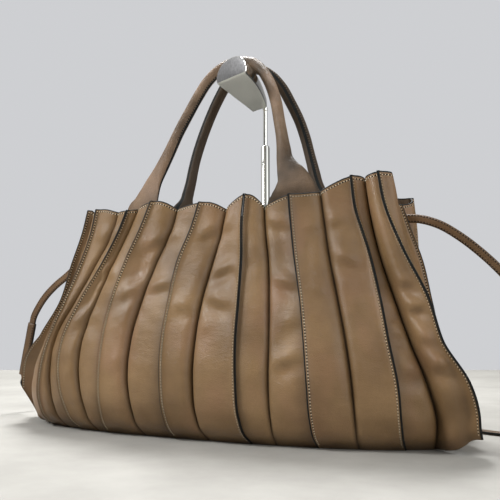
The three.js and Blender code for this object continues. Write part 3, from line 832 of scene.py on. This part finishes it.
# Evens out the columns next to a valley so that the wall's faces don't cross in its tight bend.
def relax_valley(grid, middle, reach=3, rounds=2):
    for _ in range(rounds):
        near = slice(middle - reach, middle + reach + 1)
        left = grid[:, middle - reach - 1 : middle + reach]
        right = grid[:, middle - reach + 1 : middle + reach + 2]
        grid[:, near] = 0.5 * grid[:, near] + 0.25 * (left + right)
    return grid


PANEL_CURVES = level_curves(row_heights())


# Half the leather's thickness at each point: pared towards the sewn edges, which are rounded off.
def half_wall(columns):
    place = np.abs(np.arange(columns) - (HALF_COLUMNS - 1))
    pared = np.clip((place - len(CREASE_STEPS) - 6) / (SEAM_COLUMN - len(CREASE_STEPS) - 6), 0, 1)
    wall = mix(PANEL_CURVES["wall"][:, None] * 0.9, FIN_WALL, pared[None, :]) / 2
    wall[:, place == HALF_COLUMNS - 1] *= 0.7
    wall[-1] *= 0.75
    return wall


# Three numbers for each point: painted shade in the valley creases, along the stitch groove and under the side
# towards which each fin leans; painted shade along the foot; and the panel's own tone.
def panel_shade(rows, columns, tone, first_lean, second_lean):
    offset = np.arange(columns) - (HALF_COLUMNS - 1)
    place = np.abs(offset)
    z = PANEL_CURVES["z"][:, None]
    # Painted shade on the lobe under the side towards which a fin leans, as if in its shadow.
    near_fin = np.exp(-((np.maximum(SEAM_COLUMN - place, 0) / 4.5) ** 2))
    towards = np.where(offset < 0, -first_lean[:, None], second_lean[:, None])
    under = 0.62 * np.clip(towards / 45, 0, 1) * near_fin
    # Painted shade in the bottom of each valley.
    crease_shade = np.exp(-((place / 2.4) ** 2))
    # Painted shade in the groove of each stitch line.
    seam = 0.12 * np.exp(-(((place - SEAM_COLUMN) / 0.8) ** 2))
    shade = np.zeros((rows, columns, 3))
    shade[..., 0] = np.maximum(np.maximum(crease_shade, seam), under)
    # Painted shade along the foot, where the panels curl under the bag.
    shade[..., 1] = np.exp(-((z / 8) ** 2)) * 0.7
    shade[..., 2] = tone
    return shade


def make_panel(name, first, valley, second, batch, tone):
    curves = PANEL_CURVES
    low, first, second = [place_fold(fold, curves) for fold in (valley, first, second)]
    halves = [panel_half(low, first, 1, curves), panel_half(low, second, -1, curves)]
    grid = np.concatenate([halves[0][:, :0:-1], halves[1]], 1)
    rows, columns = grid.shape[:2]
    middle = HALF_COLUMNS - 1
    wall = half_wall(columns)
    outer, normal = offset_grid(grid, wall)
    inner, _ = offset_grid(grid, -wall)
    outer = relax_valley(outer, middle)
    inner = relax_valley(inner, middle)

    points = np.concatenate([outer.reshape(-1, 3), inner.reshape(-1, 3)])
    shade = panel_shade(rows, columns, tone, first["lean"], second["lean"]).reshape(-1, 3)
    faces = []
    index = []

    def face(corners, material):
        faces.append(corners)
        index.append(material)

    back = rows * columns
    last = columns - 1
    top = rows - 1
    for j in range(top):
        for k in range(last):
            a, b = j * columns + k, (j + 1) * columns + k
            painted = k == 0 or k == last - 1 or j >= top - 2
            face((a, b, b + 1, a + 1), 2 if painted else 0)
            face((back + a, back + a + 1, back + b + 1, back + b), 2 if painted else 1)
        a, b = j * columns, (j + 1) * columns
        face((a, back + a, back + b, b), 2)
        face((a + last, b + last, back + b + last, back + a + last), 2)
    for k in range(last):
        face((k, k + 1, back + k + 1, back + k), 2)
        a = top * columns + k
        face((a, back + a, back + a + 1, a + 1), 2)
    panel = make_object(
        "leather_" + name[6:], points, faces, [LEATHER, FLESH, EDGE_PAINT], index, np.tile(shade, (2, 1))
    )
    dress(panel, "leather", name)

    flat = np.concatenate([normal, np.zeros((rows, columns, 1))], -1)
    seam = len(EDGE_STEPS) - 1
    for column in (seam, last - seam):
        batch.add_line(outer[3 : top - 1, column], flat[3 : top - 1, column])
    rim = top - 3
    inside = slice(seam + 1, last - seam)
    batch.add_line(outer[rim, inside], flat[rim, inside])


# All folds in order round the bag, from the right front corner over the front, left, rear and right.
def fold_ring():
    def mirrored(folds):
        return [{**fold, "mirrored": True} for fold in reversed(folds)]

    gusset, *right_front = RIGHT_FRONT_FOLDS
    left = LEFT_FRONT_FOLDS + LEFT_END_FOLDS + mirrored(LEFT_FRONT_FOLDS)
    right = RIGHT_REAR_FOLDS + RIGHT_END_FOLDS + [gusset]
    return right_front + FRONT_FOLDS + left + mirrored(FRONT_FOLDS) + right


def make_panels():
    ring = fold_ring()
    names = [f"panel_front_{i}" for i in range(1, 9)]
    names += ["panel_left_front", "panel_left_rear"]
    names += [f"panel_rear_{i}" for i in range(8, 0, -1)]
    names += ["panel_right_rear", "panel_right_front"]
    batches = {side: StitchBatch(LIGHT_THREAD) for side in ("front", "left", "rear", "right")}
    for i, name in enumerate(names):
        side = name.split("_")[1]
        tone = 0.5 + 0.5 * math.sin(2.4 * i)
        make_panel(name, ring[2 * i], ring[2 * i + 1], ring[(2 * i + 2) % len(ring)], batches[side], 0.35 * tone)
    for side, batch in batches.items():
        batch.finish("stitches_" + side, "leather")


# Handles, strap and sleeve


# Points of a table's rows and its other columns at equal steps along a smooth curve.
def sample_rows(rows, step, extra):
    points = np.array([[row["x"], row["y"], row["z"]] for row in rows], float)
    values = np.array([[row[name] for name in extra] for row in rows], float)
    chord = np.linalg.norm(np.diff(points, axis=0), axis=1)
    knots = np.concatenate([[0], np.cumsum(chord)])
    places = np.linspace(0, knots[-1], int(knots[-1] / step) + 1)
    return spline(knots, points, places), spline(knots, values, places)


def tangents(points):
    return unit(np.gradient(points, axis=0))


# A tube through rings of points with fanned ends.
def make_tube(name, rings, materials, index_of, shade):
    count, sides = rings.shape[:2]
    faces = ring_faces(count, sides)
    index = [index_of(face_number % sides) for face_number in range(len(faces))]
    points = np.concatenate([rings.reshape(-1, 3), [rings[0].mean(0)], [rings[-1].mean(0)]])
    start = count * sides
    for k in range(sides):
        after = (k + 1) % sides
        faces.append((start, after, k))
        faces.append((start + 1, (count - 1) * sides + k, (count - 1) * sides + after))
        index += [len(materials) - 1] * 2
    shade = np.concatenate([shade.reshape(-1, 3), np.zeros((2, 3))])
    return make_object(name, points, faces, materials, index, shade)


HANDLE_SIDES = 36
HANDLE_STEP = 2.0
ROUND_FROM = 9.5  # thickness above which the handle is a closed roll with a sewn seam


def make_handle(name, node, rows, side, seam_angle, tone):
    points, sizes = sample_rows(rows, HANDLE_STEP, ("width", "thickness"))
    width, thickness = sizes[:, 0], sizes[:, 1]
    along = tangents(points)
    splay = HANDLE_SPLAY["angle"] * np.clip(points[:, 0] / HANDLE_SPLAY["reach"], -1, 1)
    guide = np.column_stack([bearing_vector(side * (90 - splay)), np.zeros(len(points))])
    thick = unit(guide - along * dot(guide, along)[:, None])
    wide = np.cross(thick, along)
    angles = 2 * np.pi * (np.arange(HANDLE_SIDES) + 0.5) / HANDLE_SIDES
    flat = np.clip((width / thickness - 1) / 3, 0, 1)
    power = mix(1.0, 0.62, flat)
    rings = np.zeros((len(points), HANDLE_SIDES, 3))
    shade = np.zeros((len(points), HANDLE_SIDES, 3))
    # A high tone darkens the whole handle; the rear handle's is painted shade for its shaded side.
    shade[..., 2] = tone
    for k, angle in enumerate(angles):
        cosine, sine = math.cos(angle), math.sin(angle)
        aside = np.sign(cosine) * abs(cosine) ** power
        up = np.sign(sine) * abs(sine) ** power
        facing = max(0.0, math.cos(angle - math.radians(seam_angle)))
        groove = 0.5 * math.exp(-(((1 - facing) / 0.02) ** 2)) * (1 - flat)
        for i in range(len(points)):
            p = points[i]
            fine = noise.noise(Vector((p[0] / 5 + 2 * cosine, p[1] / 5 + 2 * sine, p[2] / 3.6)))
            soft = noise.noise(Vector((p[0] / 21 - cosine, p[1] / 21 + sine, p[2] / 21)))
            swell = 0.3 * fine * flat[i] * (1 - flat[i]) + 0.05 * fine + 0.22 * soft
            rings[i, k] = (
                p
                + wide[i] * aside[i] * (width[i] / 2 - groove[i] + swell * (1 - 0.6 * flat[i]))
                + thick[i] * up[i] * (thickness[i] / 2 - groove[i] + swell * (1 - 0.5 * flat[i]))
            )
            # Painted shade in the groove of the rolled handle's seam.
            shade[i, k, 0] = min(1.0, groove[i] * 0.9)
            shade[i, k, 1] = flat[i] * abs(cosine) ** 8 * 0.9
    middle = round(seam_angle / 360 * HANDLE_SIDES) - 1
    painted = [(middle + step) % HANDLE_SIDES for step in (-1, 0, 1)]
    handle = make_tube(name, rings, [HANDLE_LEATHER, EDGE_PAINT], lambda k: int(k in painted), shade)
    dress(handle, "handle_leather", node)

    batch = StitchBatch(DARK_THREAD)
    rolled = np.where(thickness > ROUND_FROM)[0]
    angle = math.radians(seam_angle + 24)
    way = wide * math.cos(angle) + thick * math.sin(angle)
    path = points + way * (thickness / 2)[:, None]
    span = slice(rolled[0], rolled[-1] + 1)
    batch.add_line(path[span], way[span], pitch=2.8)
    batch.finish("stitches_" + name, "handle_leather")


STRAP_SIDES = 20


# Section axes of a flat band: the width stands upright at roll 0 and lies flat at roll 90.
def band_axes(points, roll):
    along = tangents(points)
    flat = unit(np.column_stack([along[:, 1], -along[:, 0], np.zeros(len(points))]))
    upright = np.cross(flat, along)
    angle = np.radians(roll)[:, None]
    wide = upright * np.cos(angle) + flat * np.sin(angle)
    return along, wide, np.cross(along, wide)


def make_band(name, rows, size, step, power=0.42, bulge=0.0):
    points, rolls = sample_rows(rows, step, ("roll",))
    _, wide, thick = band_axes(points, rolls[:, 0])
    angles = 2 * np.pi * (np.arange(STRAP_SIDES) + 0.5) / STRAP_SIDES
    rings = np.zeros((len(points), STRAP_SIDES, 3))
    shade = np.zeros((len(points), STRAP_SIDES, 3))
    ends = np.linspace(-1, 1, len(points))
    swell = 1 + bulge * (1 - ends**2)
    for k, angle in enumerate(angles):
        cosine, sine = math.cos(angle), math.sin(angle)
        aside = math.copysign(abs(cosine) ** power, cosine) * size["width"] / 2
        up = math.copysign(abs(sine) ** 0.7, sine) * size["thickness"] / 2
        rings[:, k] = points + wide * aside + thick * (up * swell)[:, None]
        shade[:, k, 1] = 0.85 * abs(cosine) ** 6
    painted = [(step + half) % STRAP_SIDES for half in (-1, STRAP_SIDES // 2 - 1) for step in (-1, 0, 1)]
    band = make_tube(name, rings, [STRAP_LEATHER, EDGE_PAINT], lambda k: int(k in painted), shade)
    return band, points, wide, thick


def stitch_band(batch, points, wide, thick, size, span, margin=1.5):
    for face in (-1, 1):
        for edge in (-1, 1):
            path = points + wide * edge * (size["width"] / 2 - margin) + thick * face * (size["thickness"] / 2 - 0.12)
            batch.add_line(path[span], (thick * face)[span], pitch=2.8)


def make_strap():
    batch = StitchBatch(DARK_THREAD)
    long_strap, points, wide, thick = make_band("strap_long", LONG_STRAP, STRAP, 3.0)
    dress(long_strap, "strap_leather", "strap_right", "strap_back")
    stitch_band(batch, points, wide, thick, STRAP, slice(1, -2))
    short_strap, points, wide, thick = make_band("strap_short", SHORT_STRAP, STRAP, 3.0)
    dress(short_strap, "strap_leather", "strap_left")
    stitch_band(batch, points, wide, thick, STRAP, slice(2, -1))
    sleeve, points, wide, thick = make_band("strap_sleeve_leather", SLEEVE_ROUTE, SLEEVE, 2.0, 0.5, 0.05)
    dress(sleeve, "strap_leather", "strap_sleeve")
    stitch_band(batch, points, wide, thick, SLEEVE, slice(1, -1), 1.7)
    batch.finish("stitches_strap", "strap_leather")


# The display stand


def make_arm():
    arc, flat, lengthwise = 40, 12, 28
    rows = np.array([[row["x"], row["y"], row["half_width"], row["height"]] for row in ARM_SECTIONS])
    places = np.linspace(0, len(rows) - 1, lengthwise)
    sections = spline(np.arange(len(rows), dtype=float), rows, places)
    bevel = 0.9
    outline = []
    for k in range(arc + 1):
        angle = math.pi * (1 - k / arc)
        power = 2 / ARM_POWER
        aside = math.copysign(abs(math.cos(angle)) ** power, math.cos(angle))
        up = math.sin(angle) ** power if 0 < k < arc else ARM_CHAMFER
        outline.append((aside * (1 + ARM_BULGE * math.sin(math.pi * up)), up))
    for k in range(flat + 1):
        outline.append(((1 - ARM_CHAMFER) * (1 - 2 * k / flat), 0.0))
    sides = len(outline)
    rings = []

    def ring(section, inset, push):
        x, y, half_width, height = section
        along = Vector((-ARM_SKEW, -1, 0)).normalized() * push
        return [
            (
                x + aside * (half_width - inset) + along.x * -1,
                y + aside * (half_width - inset) * ARM_SKEW + along.y,
                ARM_UNDERSIDE + inset + up * (height - 2 * inset),
            )
            for aside, up in outline
        ]

    rings.append(ring(sections[0], bevel, 0.0))
    rings.append(ring(sections[0], bevel * 0.3, -bevel * 0.3))
    rings.append(ring(sections[0], 0.0, -bevel))
    rings += [ring(section, 0.0, 0.0) for section in sections[1:]]
    count = len(rings)
    points = [point for row in rings for point in row]
    faces = []
    index = []
    for j in range(count - 1):
        for k in range(sides):
            after = (k + 1) % sides
            faces.append((j * sides + k, j * sides + after, (j + 1) * sides + after, (j + 1) * sides + k))
            under = arc < k < sides - 1
            index.append(1 if under else 2)
    faces.append(tuple(range(sides))[::-1])
    index.append(0)
    faces.append(tuple((count - 1) * sides + k for k in range(sides)))
    index.append(1)
    arm = make_object("arm_bar", points, faces, [BRUSHED, SATIN, POLISHED], index)
    sharpen(arm, 32)
    dress(arm, "stand_metal", "stand_arm")


def sharpen(piece, degrees):
    piece.data.set_sharp_from_angle(angle=math.radians(degrees))


def make_lathe(name, x, y, profile, material, sides=48):
    points = []
    for radius, z in profile:
        for k in range(sides):
            angle = 2 * math.pi * k / sides
            points.append((x + radius * math.cos(angle), y + radius * math.sin(angle), z))
    faces = ring_faces(len(profile), sides)
    faces.append(tuple(range(sides))[::-1])
    faces.append(tuple((len(profile) - 1) * sides + k for k in range(sides)))
    made = make_object(name, points, faces, [material])
    sharpen(made, 40)
    return made


def make_stem():
    tube, rod, top = STEM["tube"], STEM["rod"], STEM["tube_top"]
    profile = [
        (tube + 0.6, STEM["foot"]),
        (tube + 0.6, STEM["foot"] + 1.2),
        (tube, STEM["foot"] + 2.0),
        (tube, top - 2.6),
        (tube - 0.3, top - 2.2),
        (tube - 0.3, top - 1.2),
        (tube - 0.7, top - 0.5),
        (rod + 0.5, top),
        (rod, top + 0.2),
        (rod, STEM["top"]),
    ]
    stem = make_lathe("stem_tube", STEM["x"], STEM["y"], profile, POLISHED)
    dress(stem, "stand_metal", "stand_stem")
    radius = COLLAR["radius"]
    collar_profile = [
        (radius - 0.5, COLLAR["bottom"]),
        (radius, COLLAR["bottom"] + 0.5),
        (radius, COLLAR["top"]),
    ]
    collar = make_lathe("arm_collar", STEM["x"], STEM["y"], collar_profile, POLISHED)
    dress(collar, "stand_metal")


def make_plate():
    half_length, half_depth = PLATE["length"] / 2, PLATE["depth"] / 2
    radius, thickness = PLATE["round"], PLATE["thickness"]
    quarter = [math.pi / 2 * k / 4 for k in range(5)]
    levels = [(radius * (1 - math.sin(a)), radius * (1 - math.cos(a))) for a in quarter]
    levels += [(inset, thickness - height) for inset, height in reversed(levels)]
    points = []
    steps = 8
    for inset, height in levels:
        for corner in range(4):
            for k in range(steps + 1):
                angle = math.pi / 2 * (corner + k / steps)
                sign_x = 1 if corner in (0, 3) else -1
                sign_y = 1 if corner < 2 else -1
                reach = PLATE["corner"] - inset
                points.append((
                    PLATE["x"] + sign_x * (half_length - PLATE["corner"]) + reach * math.cos(angle),
                    PLATE["y"] + sign_y * (half_depth - PLATE["corner"]) + reach * math.sin(angle),
                    height,
                ))
    sides = 4 * (steps + 1)
    faces = ring_faces(len(levels), sides)
    faces.append(tuple(range(sides))[::-1])
    faces.append(tuple((len(levels) - 1) * sides + k for k in range(sides)))
    plate = make_object("foot_plate", points, faces, [SATIN])
    sharpen(plate, 40)
    dress(plate, "stand_metal", "stand_plate")


# Floor, light and camera

CAMERA = {"place": (0.3515, -0.7037, 0.118), "tilt": 94.15, "turn": 25, "lens": 57.6}
FLOOR = {"front": -1.4, "back": 0.754, "half_width": 1.9}


def make_floor():
    turn = math.radians(CAMERA["turn"])
    right = Vector((math.cos(turn), math.sin(turn), 0))
    away = Vector((-math.sin(turn), math.cos(turn), 0))
    corners = []
    for aside, depth in ((-1, "front"), (1, "front"), (1, "back"), (-1, "back")):
        corners.append(right * aside * FLOOR["half_width"] + away * FLOOR[depth])
    mesh = bpy.data.meshes.new("floor")
    mesh.from_pydata([tuple(corner) for corner in corners], [], [(0, 1, 2, 3)])
    nodes = Nodes("pale_floor")
    patches = nodes.remap(nodes.noise(nodes.place, 9, 5, 0.6), 0.35, 0.65)
    nodes.set("Base Color", nodes.blend(patches, (0.3, 0.293, 0.272, 1), (0.37, 0.362, 0.338, 1)))
    nodes.set("Roughness", 0.75)
    mesh.materials.append(nodes.material)
    floor = bpy.data.objects.new("floor", mesh)
    bpy.context.scene.collection.objects.link(floor)


def add_light(name, place, target, size, power, colour=(1, 1, 1)):
    data = bpy.data.lights.new(name, "AREA")
    data.shape = "RECTANGLE"
    data.size, data.size_y = size
    data.energy = power
    data.color = colour
    light = bpy.data.objects.new(name, data)
    light.location = place
    light.rotation_euler = (Vector(target) - Vector(place)).to_track_quat("-Z", "Y").to_euler()
    bpy.context.scene.collection.objects.link(light)


# The backdrop is an even pale grey. The light from around is brightest from above on the left, with a
# window on the right and a dark room behind the camera, which the polished metal mirrors.
def make_light():
    world = bpy.data.worlds.new("studio")
    world.use_nodes = True
    tree = world.node_tree
    place = tree.nodes.new("ShaderNodeTexCoord")

    def toward(direction, low, high, to_low, to_high):
        facing = tree.nodes.new("ShaderNodeVectorMath")
        facing.operation = "DOT_PRODUCT"
        facing.inputs[1].default_value = Vector(direction).normalized()
        tree.links.new(place.outputs["Generated"], facing.inputs[0])
        power = tree.nodes.new("ShaderNodeMapRange")
        power.interpolation_type = "SMOOTHSTEP"
        power.inputs["From Min"].default_value = low
        power.inputs["From Max"].default_value = high
        power.inputs["To Min"].default_value = to_low
        power.inputs["To Max"].default_value = to_high
        tree.links.new(facing.outputs["Value"], power.inputs["Value"])
        return power.outputs["Result"]

    def combine(operation, a, b):
        node = tree.nodes.new("ShaderNodeMath")
        node.operation = operation
        tree.links.new(a, node.inputs[0])
        tree.links.new(b, node.inputs[1])
        return node.outputs["Value"]

    above = toward((-0.5, -0.1, 0.85), -0.25, 0.95, 0.06, 0.6)
    window = toward((0.95, -0.1, 0.2), 0.7, 0.95, 0.0, 1.6)
    room = toward((0.42, -0.9, 0.05), 0.62, 0.92, 1.0, 0.08)
    around = tree.nodes.new("ShaderNodeBackground")
    around.inputs["Color"].default_value = (1.0, 0.99, 0.97, 1)
    tree.links.new(combine("MULTIPLY", combine("ADD", above, window), room), around.inputs["Strength"])
    backdrop = tree.nodes["Background"]
    backdrop.inputs["Color"].default_value = (0.617, 0.625, 0.645, 1)
    seen = tree.nodes.new("ShaderNodeLightPath")
    either = tree.nodes.new("ShaderNodeMixShader")
    tree.links.new(seen.outputs["Is Camera Ray"], either.inputs["Fac"])
    tree.links.new(around.outputs["Background"], either.inputs[1])
    tree.links.new(backdrop.outputs["Background"], either.inputs[2])
    tree.links.new(either.outputs["Shader"], tree.nodes["World Output"].inputs["Surface"])
    bpy.context.scene.world = world
    bpy.context.scene.view_settings.view_transform = "Standard"
    add_light("overhead", (-0.28, 0.46, 1.3), (0, 0, 0.1), (0.5, 0.35), 30)
    add_light("front_left", (-1.0, -0.95, 1.25), (0, 0, 0.12), (0.4, 0.5), 23)
    add_light("front_right", (1.2, -1.05, 0.8), (0.05, 0, 0.14), (0.8, 0.8), 7)


def make_camera():
    data = bpy.data.cameras.new("camera")
    data.lens = CAMERA["lens"]
    data.sensor_width = 36
    camera = bpy.data.objects.new("camera", data)
    camera.location = CAMERA["place"]
    camera.rotation_euler = (math.radians(CAMERA["tilt"]), 0, math.radians(CAMERA["turn"]))
    bpy.context.scene.collection.objects.link(camera)
    bpy.context.scene.camera = camera


def finish_base():
    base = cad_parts["base_panel"]
    base.data.materials.clear()
    base.data.materials.append(LEATHER)


make_camera()
make_light()
make_floor()
make_panels()
make_handle("rolled_handle_front", "handle_front", FRONT_HANDLE, -1, 0, 0.0)
# The rear handle's dark tone is painted shade.
make_handle("rolled_handle_rear", "handle_rear", REAR_HANDLE, 1, 302, 1.5)
make_strap()
make_arm()
make_stem()
make_plate()
finish_base()
